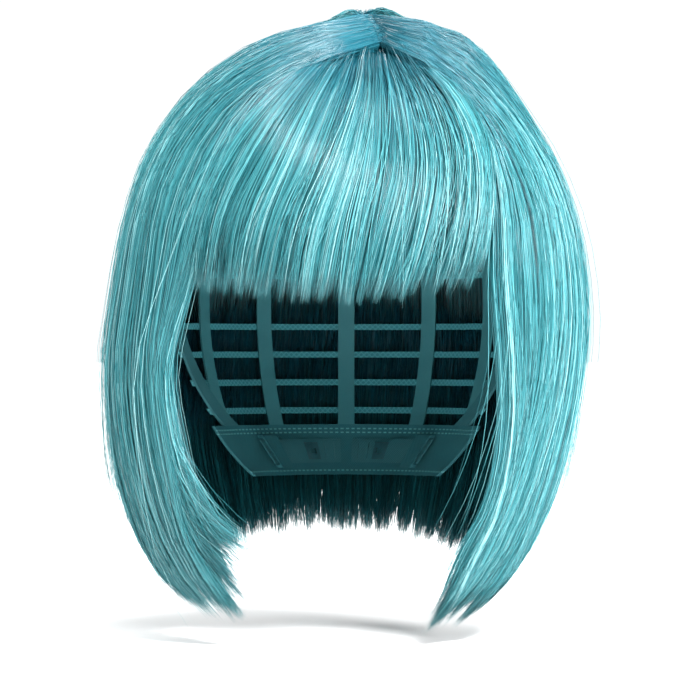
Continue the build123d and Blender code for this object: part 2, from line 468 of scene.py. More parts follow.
class Surface(Enum):
    """The two surfaces that the hair lies between."""

    OUTER = "outer"
    INNER = "inner"


@dataclass
class Hull:
    """The outside of the hair and the space for the head, both star-shaped about an upright core."""

    core_y: float = 3 * MM
    head: tuple[float, float, float] = (78.4 * MM, 97.4 * MM, 98.4 * MM)
    reach: float = 0.26
    tables: dict[Surface, np.ndarray] = field(default_factory=dict)

    def __post_init__(self) -> None:
        """Turns each stack of sections into a table of height, half width, middle, half depth and shift."""
        for surface, sections in ((Surface.OUTER, OUTSIDE), (Surface.INNER, INSIDE)):
            rows = np.array([(s.height, s.half_width, s.front, s.back, s.shift) for s in sections]) * MM
            dense = spline(rows, 400)
            order = np.argsort(dense[:, 0])
            z, half, front, back, shift = dense[order].T
            self.tables[surface] = np.stack([z, half, (front + back) / 2, (back - front) / 2, shift])

    def ring(self, z: np.ndarray, surface: Surface = Surface.OUTER) -> tuple:
        """Returns: half width, middle y, half depth and middle x of a surface at a height."""
        heights, *columns = self.tables[surface]
        return tuple(np.interp(z, heights, column) for column in columns)

    def _holds(self, points: np.ndarray, surface: Surface) -> np.ndarray:
        """Returns: which points lie inside a surface."""
        x, y, z = np.moveaxis(points, -1, 0)
        half, middle, depth, shift = self.ring(z, surface)
        inside = ((x - shift) / half) ** 2 + ((y - middle) / depth) ** 2 < 1
        if surface is Surface.OUTER:
            return inside & (z < self.tables[surface][0][-1])
        dome = (x / self.head[0]) ** 2 + (y / self.head[1]) ** 2 + (z / self.head[2]) ** 2 < 1
        return np.where(z > 0, dome, inside)

    def project(self, points: np.ndarray, surface: Surface) -> np.ndarray:
        """Moves points straight out from the core, or level below the brow, on to a surface.

        Args:
            points: any array of points, the last axis being x, y, z.
            surface: which surface they land on.

        Returns:
            The moved points.
        """
        core = np.zeros_like(points)
        core[..., 1] = self.core_y
        core[..., 2] = np.minimum(points[..., 2], 0.0)
        way = points - core
        way /= np.maximum(np.linalg.norm(way, axis=-1, keepdims=True), 1e-9)
        low = np.zeros(points.shape[:-1])
        high = np.full(points.shape[:-1], self.reach)
        for _ in range(26):
            middle = (low + high) / 2
            held = self._holds(core + way * middle[..., None], surface)
            low = np.where(held, middle, low)
            high = np.where(held, high, middle)
        return core + way * low[..., None]

    def front(self, x: float, z: float) -> tuple[float, float, float]:
        """Returns: the outer surface's point before the face, at x and z in millimetres."""
        half, middle, depth, shift = self.ring(z * MM)
        side = min(abs(x * MM - shift) / float(half), 0.995)
        return (x * MM, float(middle - depth * math.sqrt(1 - side * side)), z * MM)

    def around(self, azimuth: float, z: float, side: int) -> tuple[float, float, float]:
        """Returns: the outer surface's point at degrees from the front towards a side, z in millimetres."""
        half, middle, depth, shift = self.ring(z * MM)
        turn = math.radians(azimuth)
        x = float(shift) + side * float(half) * math.sin(turn)
        return (x, float(middle - depth * math.cos(turn)), z * MM)


# ---------------------------------------------------------------------------------------------
# Combed hair
# ---------------------------------------------------------------------------------------------


@dataclass
class Field:
    """A patch of combed hair: a grid across the patch and along the strands, on both surfaces."""

    hull: Hull
    guides: Sequence[Sequence[tuple[float, float, float]]]
    columns: int = 96
    rows: int = 64
    outer: np.ndarray = field(init=False)
    inner: np.ndarray = field(init=False)

    def __post_init__(self) -> None:
        """Fills the grids between the guides and evens out their rows."""
        lines = [spline(np.array(guide, float), 3 * self.rows) for guide in self.guides]
        along = np.stack([self._even(line) for line in lines])
        grid = self.hull.project(spline(along, self.columns), Surface.OUTER)
        self.outer = np.stack([self._even(column) for column in grid])
        self.inner = self.hull.project(self.outer, Surface.INNER)

    def _even(self, line: np.ndarray) -> np.ndarray:
        """Returns: a line's points moved along it to even steps."""
        steps = np.linalg.norm(np.diff(line, axis=0), axis=1)
        place = np.concatenate([[0], np.cumsum(steps)]) / steps.sum()
        even = np.linspace(0, 1, self.rows)
        return np.stack([np.interp(even, place, line[:, k]) for k in range(3)], axis=1)

    def _read(self, grid: np.ndarray, across: np.ndarray, along: np.ndarray) -> np.ndarray:
        """Returns: a grid's values at places from 0 to 1 each way."""
        u = np.clip(across, 0, 1) * (self.columns - 1)
        v = np.clip(along, 0, 1) * (self.rows - 1)
        i = np.minimum(u.astype(int), self.columns - 2)
        j = np.minimum(v.astype(int), self.rows - 2)
        s, t = (u - i)[..., None], (v - j)[..., None]
        near = grid[i, j] * (1 - t) + grid[i, j + 1] * t
        far = grid[i + 1, j] * (1 - t) + grid[i + 1, j + 1] * t
        return near * (1 - s) + far * s

    def at(self, across: np.ndarray, along: np.ndarray, depth: np.ndarray) -> tuple[np.ndarray, np.ndarray]:
        """Finds points in the hair.

        Args:
            across: places across the patch, 0 to 1.
            along: places from root to tip, 0 to 1.
            depth: 0 at the cap and 1 on the outside.

        Returns:
            The points, and the outward directions there.
        """
        outer = self._read(self.outer, across, along)
        inner = self._read(self.inner, across, along)
        way = outer - inner
        out = way / np.maximum(np.linalg.norm(way, axis=-1, keepdims=True), 1e-9)
        return inner + way * depth[..., None], out


@dataclass(frozen=True)
class Tress:
    """How one group of strands grows in a field. Lengths are in metres, places are shares of the field."""

    name: str
    strands: int
    locks: int
    points: int
    across: tuple[float, float] = (0.0, 1.0)
    root: tuple[float, float] = (0.0, 0.02)
    tip: tuple[float, float] = (0.95, 1.0)
    depth: tuple[float, float] = (0.6, 1.0)
    start: tuple[float, float] = (0.85, 1.0)
    rise: float = 0.30
    arch: float = 0.0
    clump: float = 0.30
    flow: float = 0.0030
    lock_sway: float = 0.0009
    stray: float = 0.0004
    flick: float = 0.0
    flick_from: float = 0.70
    width: float = 0.00034
    tone: tuple[float, float] = (0.2, 0.95)
    map_reach: float = 1.0


class Strands:
    """Grows strands and makes closed three-sided fibres of them.

    point_crowding below 1 sets the points closer together at the tip. sway_waves is how many turns a
    strand's own wave has. tone_shares are the parts of a strand's tone that come from its lock, its
    streak and itself. The inner strands are painted darker by the shade share below, as painted shade
    from the hair that lies over them.
    """

    sides = 3
    most_faces = 190_000
    lock_wander = 0.35
    point_crowding = 0.92
    sway_waves = 0.45
    arch_pace = 1.35
    streaks = 6
    tone_shares = (0.20, 0.38, 0.42)
    tone_spread = 1.35
    # painted shade: how much darker the inner strands are painted
    inner_painted_shade = 0.12
    map_margin = 0.02
    map_span = 0.96
    side_shade = 0.012

    def __init__(self, seed: int) -> None:
        """Args: seed, for every random choice."""
        self.random = np.random.default_rng(seed)

    def _sway(self, count: int, along: np.ndarray) -> np.ndarray:
        """Returns: one slow random wave per strand, about -1 to 1, that starts at nothing."""
        phase = self.random.uniform(0, math.tau, (2, count, 1))
        pace = self.random.uniform(0.6, 1.4, (2, count, 1)) * self.sway_waves
        size = self.random.normal(0, 0.6, (2, count, 1))
        curves = (np.sin(pace[k] * math.tau * along + phase[k]) - np.sin(phase[k]) for k in (0, 1))
        return sum(size[k] * curve for k, curve in enumerate(curves))

    def _flow(self, place: np.ndarray, along: np.ndarray) -> np.ndarray:
        """Returns: slow waves that neighbouring strands share, about -1 to 1, nothing at the root."""
        waves = 0.0
        for across, down in ((2.3, 0.25), (4.9, 0.40), (10.3, 0.55)):
            turn = math.tau * (across * place[:, None] + down * along) + self.random.uniform(0, math.tau)
            waves = waves + np.sin(turn) * (2.3 / across) ** 0.6
        return waves / 1.8

    def grow(self, patch: Field, tress: Tress, side: int) -> tuple[np.ndarray, np.ndarray, np.ndarray]:
        """Grows one group.

        Args:
            patch: the field that the strands follow.
            tress: how they grow.
            side: 1 for the wearer's left and -1 for the right, which way the tips flick.

        Returns:
            Points (strand, place, xyz), outward directions of the same shape, and a tone per strand, darker
            for inner strands as painted shade.
        """
        rng, n = self.random, tress.strands
        lock_place = (np.arange(tress.locks) + rng.uniform(0.15, 0.85, tress.locks)) / tress.locks
        place = np.sort(rng.uniform(0, 1, n))
        wander = rng.normal(0, self.lock_wander / tress.locks, n)
        lock = np.abs(lock_place[None, :] - (place + wander)[:, None]).argmin(axis=1)
        low, high = tress.across
        share = place
        place, lock_place = low + (high - low) * place, low + (high - low) * lock_place
        s = np.linspace(0, 1, tress.points)[None, :] ** self.point_crowding
        root = rng.uniform(*tress.root, n)
        blend = np.clip(0.5 * rng.uniform(0, 1, tress.locks)[lock] + 0.5 * rng.uniform(0, 1, n), 0, 1)
        tip = tress.tip[0] + (tress.tip[1] - tress.tip[0]) * blend
        along = root[:, None] + (tip - root)[:, None] * s
        gather = tress.clump * rng.uniform(0.3, 1.4, n)[:, None] * smooth((s - 0.15) / 0.85)
        across = place[:, None] + (lock_place[lock] - place)[:, None] * np.clip(gather, 0, 0.97)
        lock_depth = rng.uniform(0, 1, tress.locks)[lock]
        level = np.clip(0.25 * lock_depth + 0.75 * rng.uniform(0, 1, n), 0, 1)
        layer = tress.depth[0] + (tress.depth[1] - tress.depth[0]) * level
        begin = rng.uniform(*tress.start, n)
        depth = begin[:, None] + (layer - begin)[:, None] * smooth(s / tress.rise)
        lift = tress.arch * rng.uniform(0.3, 1, n)[:, None]
        depth = depth + lift * np.sin(math.pi * np.minimum(self.arch_pace * s, 1))
        points, out = patch.at(across, along, depth)
        tangent = np.gradient(points, axis=1)
        tangent /= np.maximum(np.linalg.norm(tangent, axis=-1, keepdims=True), 1e-9)
        sideways = np.cross(out, tangent)
        loose = 0.35 + 0.65 * s
        lock_wave = self._sway(tress.locks, s.repeat(tress.locks, 0))[lock]
        own = self._sway(n, s.repeat(n, 0)) * loose
        lean = self._sway(n, s.repeat(n, 0)) * loose
        bend = smooth((s - tress.flick_from) / (1 - tress.flick_from)) ** 1.4
        swing = side * tress.flick * (1 - share)[:, None] * rng.uniform(0.2, 1.2, n)[:, None] * bend
        flow = self._flow(share, s) * s * tress.flow
        shift = flow + lock_wave * s * tress.lock_sway + own * tress.stray - swing
        points = points + sideways * shift[..., None]
        points = points + out * (lean * tress.stray * 0.6)[..., None]
        stripes = tress.locks * self.streaks
        stripe = np.minimum((share * tress.locks * self.streaks).astype(int), stripes - 1)
        streak = rng.uniform(0, 1, stripes)[stripe]
        lock_tone = rng.uniform(0, 1, tress.locks)[lock]
        by_lock, by_streak, by_strand = self.tone_shares
        tone = by_lock * lock_tone + by_streak * streak + by_strand * rng.uniform(0, 1, n)
        tone = 0.5 + (tone - 0.5) * self.tone_spread
        tone = tress.tone[0] + (tress.tone[1] - tress.tone[0]) * np.clip(tone, 0, 1)
        # inner strands are painted darker, as painted shade under the outer hair
        return points, out, tone - self.inner_painted_shade * (1 - level)

    def mesh(
        self,
        name: str,
        points: np.ndarray,
        out: np.ndarray,
        tone: np.ndarray,
        width: float,
        map_reach: float,
    ) -> bpy.types.Object:
        """Makes one object of closed fibres that end in a point.

        Args:
            name: the object's name.
            points: strand centre lines.
            out: outward directions.
            tone: a shade from 0 to 1 per strand.
            width: a fibre bundle's full width, in metres.
            map_reach: how much of the root to tip colouring, with its painted root shade, the strands go
                through.

        Returns:
            The object.
        """
        n, m, _ = points.shape
        tangent = np.gradient(points, axis=1)
        tangent /= np.maximum(np.linalg.norm(tangent, axis=-1, keepdims=True), 1e-9)
        side = np.cross(tangent, out)
        side /= np.maximum(np.linalg.norm(side, axis=-1, keepdims=True), 1e-9)
        up = np.cross(side, tangent)
        turn = self.random.uniform(0, math.tau, (n, 1, 1, 1))
        angle = turn + np.arange(self.sides).reshape(1, 1, -1, 1) * (math.tau / self.sides)
        s = np.linspace(0, 1, m)
        taper = (0.75 + 0.25 * smooth(s / 0.15)) * (1 - 0.62 * smooth((s - 0.55) / 0.45))
        girth = self.random.uniform(0.75, 1.3, (n, 1, 1, 1)) * taper.reshape(1, m, 1, 1) * width / 2
        spokes = np.cos(angle) * side[:, :, None] + np.sin(angle) * up[:, :, None]
        rings = points[:, :, None] + girth * spokes
        body = rings[:, :-1].reshape(n, -1, 3)
        vertices = np.concatenate([body, points[:, -1:]], axis=1)
        per = vertices.shape[1]
        quads, tips, roots = [], [], []
        for ring in range(m - 2):
            for k in range(self.sides):
                j = (k + 1) % self.sides
                a = ring * self.sides
                quads.append((a + k, a + j, a + self.sides + j, a + self.sides + k))
        last = (m - 2) * self.sides
        for k in range(self.sides):
            tips.append((last + k, last + (k + 1) % self.sides, per - 1))
        roots.append((2, 1, 0))
        base = (np.arange(n) * per)[:, None, None]
        quad_index = (np.array(quads)[None] + base).reshape(-1)
        tri_index = (np.array(tips + roots)[None] + base).reshape(-1)
        reach = self.map_span * map_reach
        v_ring = np.repeat(self.map_margin + reach * s[:-1], self.sides)
        v_all = np.concatenate([v_ring, [self.map_margin + reach]])
        u_ring = np.tile(np.array([-1.0, 0.0, 1.0]), m - 1)
        u_all = np.concatenate([u_ring, [0.0]]) * self.side_shade
        shade = np.clip(tone, self.map_margin, 1 - self.map_margin)[:, None] + u_all[None, :]
        uv = np.stack([shade, np.repeat(v_all[None, :], n, 0)], axis=-1).reshape(-1, 2)
        return build_mesh(name, vertices.reshape(-1, 3), quad_index, tri_index, uv)

    def pieces(self, patch: Field, tress: Tress, side: int = 1) -> list[bpy.types.Object]:
        """Grows a group and splits it into objects that stay under the face limit.

        Args:
            patch: the field that the strands follow.
            tress: how they grow.
            side: 1 for the wearer's left and -1 for the right.

        Returns:
            The objects, in order across the field.
        """
        points, out, tone = self.grow(patch, tress, side)
        per = (tress.points - 2) * self.sides * 2 + self.sides + 1
        parts = max(1, math.ceil(tress.strands * per / self.most_faces))
        made = []
        for number, chosen in enumerate(np.array_split(np.arange(tress.strands), parts), 1):
            name = f"{tress.name}_{number}" if parts > 1 else tress.name
            rows = points[chosen], out[chosen], tone[chosen]
            made.append(self.mesh(name, *rows, tress.width, tress.map_reach))
        return made


def build_mesh(
    name: str, vertices: np.ndarray, quads: np.ndarray, triangles: np.ndarray, uv: np.ndarray
) -> bpy.types.Object:
    """Makes a smooth object from flat arrays.

    Args:
        name: the object's name.
        vertices: one row each, in metres.
        quads: vertex numbers, four to a face.
        triangles: vertex numbers, three to a face.
        uv: one row for each vertex.

    Returns:
        The object, linked to the scene.
    """
    mesh = bpy.data.meshes.new(name)
    corners = np.concatenate([quads, triangles]).astype(np.int32)
    starts = np.concatenate([np.arange(0, len(quads), 4), len(quads) + np.arange(0, len(triangles), 3)])
    mesh.vertices.add(len(vertices))
    mesh.vertices.foreach_set("co", vertices.astype(np.float32).ravel())
    mesh.loops.add(len(corners))
    mesh.loops.foreach_set("vertex_index", corners)
    mesh.polygons.add(len(starts))
    mesh.polygons.foreach_set("loop_start", starts.astype(np.int32))
    layer = mesh.uv_layers.new(name=FIBRE_MAP)
    layer.data.foreach_set("uv", uv[corners].astype(np.float32).ravel())
    mesh.update(calc_edges=True)
    mesh.shade_smooth()
    made = bpy.data.objects.new(name, mesh)
    bpy.context.collection.objects.link(made)
    return made


@dataclass(frozen=True)
class Bend:
    """Where hair would turn from following the cap to following a moving body; no piece is bent by it."""

    body: str
    start: tuple[float, float, float]
    end: tuple[float, float, float]


# Places before the face, x and z in millimetres: each fringe guide from root to tip, from the wearer's
# right to the left, then each curtain's front edge, with the height of its front tip.
FRINGE_GUIDES = (
    ((-16, 92.5), (-32, 80), (-48, 57), (-60, 32), (-63, 4)),
    ((-12, 94), (-26, 80), (-43, 57), (-54, 32), (-58, 2)),
    ((-7, 95.5), (-18, 81), (-33, 56), (-45, 30), (-50, 0)),
    ((-1, 96), (-9, 80), (-20, 54), (-31, 28), (-37, -1)),
    ((5, 96.5), (2, 80), (-7, 52), (-17, 26), (-22, -3)),
    ((10, 97), (10, 79), (6, 52), (-1, 26), (-7, -3)),
    ((15, 97), (18, 79), (19, 52), (13, 26), (6, -3)),
    ((20, 96.5), (27, 79), (31, 53), (27, 27), (19, -2)),
    ((25, 95.5), (35, 80), (42, 56), (40, 30), (32, 0)),
    ((30, 94), (43, 80), (52, 59), (53, 35), (46, 4)),
    ((34, 92), (48, 79.5), (56, 60), (56, 38), (49, 9)),
)
CURTAIN_EDGES = {
    1: (
        ((26, 95.5), (36, 90.5), (46, 81.5), (53, 68), (57, 46), (57.5, 10), (60.5, -22), (62, -42),
         (61, -62), (58, -78), (53, -92), (46, -104), (35, -131)),
        -131,
    ),
    -1: (
        ((-4, 95.5), (-17, 90), (-31, 80), (-42, 62), (-51, 36), (-60, 8), (-68, -16), (-71, -32),
         (-68, -52), (-64, -72), (-60, -92), (-51, -107), (-38, -125)),
        -127,
    ),
}


@dataclass
class Haircut:
    """The whole head of hair: a fringe, two side curtains and the back, combed from a short parting."""

    hull: Hull
    finish: bpy.types.Material
    strands: Strands
    part_front: tuple[float, float, float] = (13.4 * MM, -46 * MM, 98.8 * MM)
    part_back: tuple[float, float, float] = (7 * MM, 12 * MM, 118 * MM)
    side_azimuths: tuple[float, ...] = (52, 66, 80, 94, 108, 124, 142, 163, 184)
    lean: float = 9.0
    overlap: float = 1.5 * MM
    split: float = 0.62
    root_gather: float = 0.8
    root_height: float = 101.5
    hem_back: float = -104
    # a share below 1 stretches the root tint down the fringe, as painted shade on its upper half
    fringe_shade_reach: float = 0.55

    def _source(self, azimuth: float, side: int) -> np.ndarray:
        """Returns: where on the parting the strands for an azimuth start, just across the line."""
        share = smooth(np.array((azimuth - 34) / 80.0))
        turn = math.radians(azimuth)
        away = np.array([side * math.sin(turn), -math.cos(turn), 0.0]) * self.overlap
        front, back = np.array(self.part_front), np.array(self.part_back)
        return front + (back - front) * share - away

    def fringe_field(self) -> Field:
        """Returns: the fringe, spread along the front of the parting and swept to the wearer's right."""
        guides = []
        for shape in FRINGE_GUIDES:
            gathered = shape[0][0] * self.root_gather + (1 - self.root_gather) * self.part_front[0] / MM
            hidden = (gathered, self.root_height)
            guides.append([self.hull.front(x, z) for x, z in (hidden, *shape)])
        return Field(self.hull, guides)

    def side_field(self, side: int) -> Field:
        """Returns: half the head, from the curtain's front edge round to the middle of the back.

        Args:
            side: 1 for the wearer's left, -1 for the wearer's right.
        """
        hull = self.hull
        edge, hem_front = CURTAIN_EDGES[side]
        front = self._source(30, side)
        guides = [[tuple(front), *(hull.front(x, z) for x, z in edge)]]
        for azimuth in self.side_azimuths:
            source = self._source(azimuth, side)
            share = smooth(np.array((azimuth - 50) / 130.0))
            hem = hem_front + (self.hem_back - hem_front) * float(share)
            lean = self.lean * max(0.0, math.sin(math.radians(azimuth)))
            high = np.array(hull.around(azimuth, 41, side))
            path = [tuple(source)]
            for k in (0.25, 0.5, 0.75):
                path.append(tuple(source + (high - source) * k + np.array([0, 0, 0.02 * k])))
            path += [tuple(high), hull.around(azimuth, 15, side), hull.around(azimuth, -10, side)]
            path += [hull.around(azimuth, -36, side)]
            drops = ((0.25, 0.25), (0.5, 0.5), (0.75, 0.75), (1.0, 1.0))
            path += [hull.around(azimuth - lean * k, -36 + (hem + 36) * d, side) for k, d in drops]
            guides.append(path)
        return Field(hull, guides)

    def whorl_field(self, side: int) -> Field:
        """Returns: a small fan round the crown, where short root fibres stand up.

        Args:
            side: 1 for the wearer's left, -1 for the wearer's right.
        """
        guides = []
        centre = np.array(self.part_back)
        for azimuth in np.linspace(75, 180, 8):
            turn = math.radians(azimuth)
            way = np.array([side * math.sin(turn), -math.cos(turn), 0.0])
            guides.append([tuple(centre + way * reach * MM) for reach in (-1, 4, 8, 13, 19, 26)])
        return Field(self.hull, guides, 24, 32)

    def _dress(self, pieces: Iterable[bpy.types.Object], nodes: Sequence[str]) -> None:
        """Gives pieces their finish, bakes their placing into their meshes and hides the nodes that they
        stand for.
        """
        for piece in pieces:
            piece.data.materials.append(self.finish)
            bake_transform(piece)
            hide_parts(*nodes)
            LOG.info("%s: %d faces", piece.name, len(piece.data.polygons))

    def _fringe(self, count: float) -> None:
        """Grows the fringe. Args: count, a share of the full number of strands."""
        patch, reach = self.fringe_field(), self.fringe_shade_reach
        # The under group's darker tone range is painted shade under the top strands.
        groups = (
            Tress("fringe_top", int(3500 * count), 80, 13, across=(0.0, 0.775), root=(0.0, 0.05),
                  tip=(0.93, 1.02), depth=(0.55, 0.92), start=(0.45, 0.75), tone=(0.15, 1.0),
                  map_reach=reach),
            Tress("fringe_top_left", int(850 * count), 20, 13, across=(0.805, 1.0), root=(0.0, 0.05),
                  tip=(0.93, 1.02), depth=(0.55, 0.92), start=(0.45, 0.75), tone=(0.15, 1.0),
                  map_reach=reach),
            Tress("fringe_under", int(2400 * count), 60, 12, root=(0.03, 0.30), tip=(0.88, 0.99),
                  depth=(0.15, 0.6), start=(0.05, 0.4), tone=(0.05, 0.6), map_reach=reach),
            Tress("fringe_veil_right", int(420 * count), 30, 14, across=(0.0, 0.30), tip=(0.80, 1.0),
                  depth=(0.88, 1.0), start=(0.5, 0.72), rise=0.2, tone=(0.2, 1.0), map_reach=reach),
            Tress("fringe_veil_left", int(160 * count), 16, 14, across=(0.84, 1.0), tip=(0.85, 1.0),
                  depth=(0.88, 1.0), start=(0.45, 0.65), rise=0.2, tone=(0.3, 1.0)),
            Tress("fringe_strays", int(200 * count), 60, 13, root=(0.0, 0.2), tip=(0.98, 1.0),
                  depth=(0.8, 1.04), lock_sway=0.005, stray=0.0022, width=0.00024, tone=(0.5, 1.0)),
        )
        for tress in groups:
            self._dress(self.strands.pieces(patch, tress), ("hair_fringe",))

    def _half(self, side: int, word: str, count: float) -> None:
        """Grows one side curtain and half the back.

        Args:
            side: 1 for the wearer's left, -1 for the wearer's right.
            word: left or right.
            count: a share of the full number of strands.
        """
        patch = self.side_field(side)
        front, back = (0.012, self.split), (self.split, 1.0)
        flick, flick_from = (0.004, 0.70) if side > 0 else (0.024, 0.76)
        behind, within = (0.055, self.split), (0.095, self.split)
        side_bend = Bend(f"side_hair_{word}", (0, 0, 0.025), (0, 0, -0.025))
        back_bend = Bend("back_hair", (0, 0, 0.025), (0, 0, -0.025))
        low_bend = Bend("back_hair", (0, 0, -0.045), (0, 0, -0.085))
        side_nodes = (f"hair_side_{word}", f"hair_side_upper_{word}", "hair_crown")
        back_nodes = ("hair_back", "hair_back_upper")
        # The middle and under groups' darker tone ranges are painted shade under the outer hair.
        groups = (
            (Tress(f"curtain_{word}", int(5400 * count), 130, 18, across=front, tip=(0.94, 1.0),
                   depth=(0.7, 1.0), clump=0.2), side_bend, side_nodes),
            (Tress(f"curtain_edge_{word}", int(800 * count), 30, 18, across=(0.0, 0.11), root=(0.0, 0.2),
                   tip=(0.84, 1.0), depth=(0.6, 0.98), start=(0.6, 0.95), flick=flick, flick_from=flick_from,
                   tone=(0.1, 0.9)),
             side_bend, side_nodes),
            (Tress(f"curtain_middle_{word}", int(3000 * count), 80, 16, across=behind, root=(0.03, 0.30),
                   tip=(0.88, 0.99), depth=(0.4, 0.8), start=(0.1, 0.5), flick=0.003, tone=(0.10, 0.72)),
             side_bend, side_nodes),
            (Tress(f"curtain_under_{word}", int(2400 * count), 60, 13, across=within, root=(0.28, 0.42),
                   tip=(0.86, 0.98), depth=(0.05, 0.45), start=(0.0, 0.1), tone=(0.04, 0.55)),
             side_bend, side_nodes),
            (Tress(f"back_{word}", int(3400 * count), 80, 18, across=back, tip=(0.95, 1.0),
                   depth=(0.7, 1.0), clump=0.2, tone=(0.15, 0.95)), back_bend, back_nodes),
            (Tress(f"back_middle_{word}", int(2200 * count), 60, 16, across=back, root=(0.03, 0.34),
                   tip=(0.93, 0.99), depth=(0.4, 0.8), start=(0.1, 0.5), tone=(0.12, 0.75)),
             back_bend, back_nodes),
            (Tress(f"back_under_{word}", int(2400 * count), 60, 12, across=(0.45, 1.0), root=(0.60, 0.74),
                   tip=(0.93, 0.99), depth=(0.04, 0.5), start=(0.0, 0.08), clump=0.15, tone=(0.04, 0.6)),
             low_bend, back_nodes),
        )
        for tress, bend, nodes in groups:
            self._dress(self.strands.pieces(patch, tress, side), nodes)
        whorl = Tress(f"whorl_{word}", int(420 * count), 40, 9, root=(0.0, 0.08), tip=(0.55, 1.0),
                      depth=(0.9, 1.0), start=(0.75, 1.0), arch=0.16, stray=0.0006, width=0.00030,
                      tone=(0.1, 0.8))
        self._dress(self.strands.pieces(self.whorl_field(side), whorl, side), ("hair_crown",))
        wild = Tress(f"flyaways_{word}", int(260 * count), 80, 18, across=(0, self.split), tip=(0.75, 1.0),
                     depth=(0.94, 1.05), lock_sway=0.008, stray=0.0036, width=0.00020, tone=(0.4, 1.0))
        self._dress(self.strands.pieces(patch, wild, side), side_nodes)

    def build(self) -> None:
        """Grows every group of hair."""
        count = 1.0
        self._fringe(count)
        for side, word in ((1, "left"), (-1, "right")):
            self._half(side, word, count)


# ---------------------------------------------------------------------------------------------
# The sewn cap
# ---------------------------------------------------------------------------------------------


@dataclass
class Net:
    """Six-sided openwork net, knotted from round thread, over the middle of a cloth node."""

    node: str
    finish: bpy.types.Material
    head: tuple[float, float, float]
    cell_level: int = 6
    thread: float = 0.42 * MM
    sides: int = 4
    catch: float = 0.75 * MM

    def _knots(self) -> tuple[np.ndarray, np.ndarray]:
        """Returns: the knots on the head's ellipsoid, and each thread's pair of knots."""
        shape = bmesh.new()
        bmesh.ops.create_icosphere(shape, subdivisions=self.cell_level, radius=1.0)
        knots = np.array([face.calc_center_median().normalized()[:] for face in shape.faces])
        pairs = np.array([[face.index for face in edge.link_faces] for edge in shape.edges])
        shape.free()
        return knots * np.array(self.head), pairs

    def build(self) -> bpy.types.Object:
        """Returns: the net, where the node's cloth is."""
        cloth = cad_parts[self.node]
        near = BVHTree.FromPolygons([v.co[:] for v in cloth.data.vertices],
                                    [p.vertices[:] for p in cloth.data.polygons])
        low, high = (np.array(corner) - 2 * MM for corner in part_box(self.node))
        knots, pairs = self._knots()
        boxed = ((knots > low) & (knots < high + 4 * MM)).all(axis=1)
        pairs = pairs[boxed[pairs].all(axis=1)]
        held = {k: near.find_nearest(Vector(knots[k]))[3] < self.catch for k in np.unique(pairs)}
        pairs = pairs[[held[a] and held[b] for a, b in pairs]]
        a, b = knots[pairs[:, 0]], knots[pairs[:, 1]]
        way = b - a
        way /= np.linalg.norm(way, axis=1, keepdims=True)
        up = (a + b) / np.linalg.norm(a + b, axis=1, keepdims=True)
        side = np.cross(way, up)
        turn = np.arange(self.sides) * (math.tau / self.sides)
        ring = (np.cos(turn)[:, None, None] * side + np.sin(turn)[:, None, None] * up) * self.thread / 2
        reach = way * self.thread * 0.3
        vertices = np.concatenate([a - reach + ring, b + reach + ring]).transpose(1, 0, 2)
        n, k = len(pairs), self.sides
        walls = [(i, (i + 1) % k, k + (i + 1) % k, k + i) for i in range(k)]
        quads = np.array([*walls, (3, 2, 1, 0), (4, 5, 6, 7)])
        index = (quads[None] + (np.arange(n) * 2 * k)[:, None, None]).reshape(-1)
        flat = vertices.reshape(-1, 3)
        made = build_mesh(f"{self.node}_threads", flat, index, np.zeros(0, int), flat[:, :2])
        made.data.materials.append(self.finish)
        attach(made, "cap")
        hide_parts(self.node)
        LOG.info("%s: %d threads", made.name, n)
        return made


@dataclass
class Cap:
    """The sewn cap, its tabs and its adjusters: the frame's own nodes in their finishes."""

    head: tuple[float, float, float] = (76.5 * MM, 95.5 * MM, 96.5 * MM)
    dark: tuple = (0.026, 0.150, 0.178)
    teal: tuple = (0.060, 0.280, 0.320)

    def _paint(self, finish: bpy.types.Material, *names: str) -> None:
        """Gives every node whose name starts with one of the names a finish."""
        for name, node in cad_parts.items():
            if name.startswith(names):
                for slot in node.material_slots:
                    slot.material = finish
                if not node.material_slots:
                    node.data.materials.append(finish)
                LOG.info("%s: %s", name, finish.name)

    def build(self) -> None:
        """Dresses each group of nodes and knots the nets."""
        lining = WovenFinish("lining_cloth", self.dark, self.teal, 1.1 * MM, 1.1 * MM)
        low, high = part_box("nape_band")[0][2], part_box("nape_band")[1][2]
        inset = 1.8 * MM
        hemmed = HemmedFinish("nape_cloth", self.dark, self.teal, 1.1 * MM, 1.1 * MM,
                              rows=(low + inset, high - inset, high - inset - 1.6 * MM))
        tape = WovenFinish("elastic_tape", (0.030, 0.160, 0.190), (0.085, 0.320, 0.360), 1.3 * MM, 0.6 * MM,
                           relief=0.00022)
        ribbon = WovenFinish("ribbon", (0.040, 0.200, 0.235), (0.100, 0.380, 0.420), 0.5 * MM, 1.0 * MM,
                             roughness=0.6)
        track = StitchedFinish("weft_tape", (0.040, 0.240, 0.280), (0.090, 0.400, 0.450))
        thread = WovenFinish("net_thread", (0.040, 0.200, 0.230), (0.110, 0.380, 0.420), 0.3 * MM, 0.3 * MM,
                             relief=0.00003, roughness=0.7)
        steel = HardFinish("stay_steel", (0.42, 0.43, 0.45), (0.66, 0.66, 0.67), 1.0, 0.30, 1500.0)
        plastic = HardFinish("hook_plastic", (0.022, 0.110, 0.135), (0.070, 0.220, 0.250), 0.0, 0.32, 900.0)
        self._paint(lining.make(), "front_band", "ear_tab", "strap_sleeve")
        self._paint(hemmed.make(), "nape_band")
        self._paint(tape.make(), "crown_tape", "rear_binding", "loop_tape", "strap_left", "strap_right")
        self._paint(ribbon.make(), "back_rib")
        self._paint(track.make(), "back_track", "crown_track", "fringe_track")
        self._paint(CoatedFinish().make(), "skin_top")
        self._paint(steel.make(), "ear_stay")
        self._paint(plastic.make(), "hook")
        net = thread.make()
        for node in ("crown_net", "side_lace_left", "side_lace_right"):
            Net(node, net, self.head).build()


# ---------------------------------------------------------------------------------------------
# Studio
# ---------------------------------------------------------------------------------------------


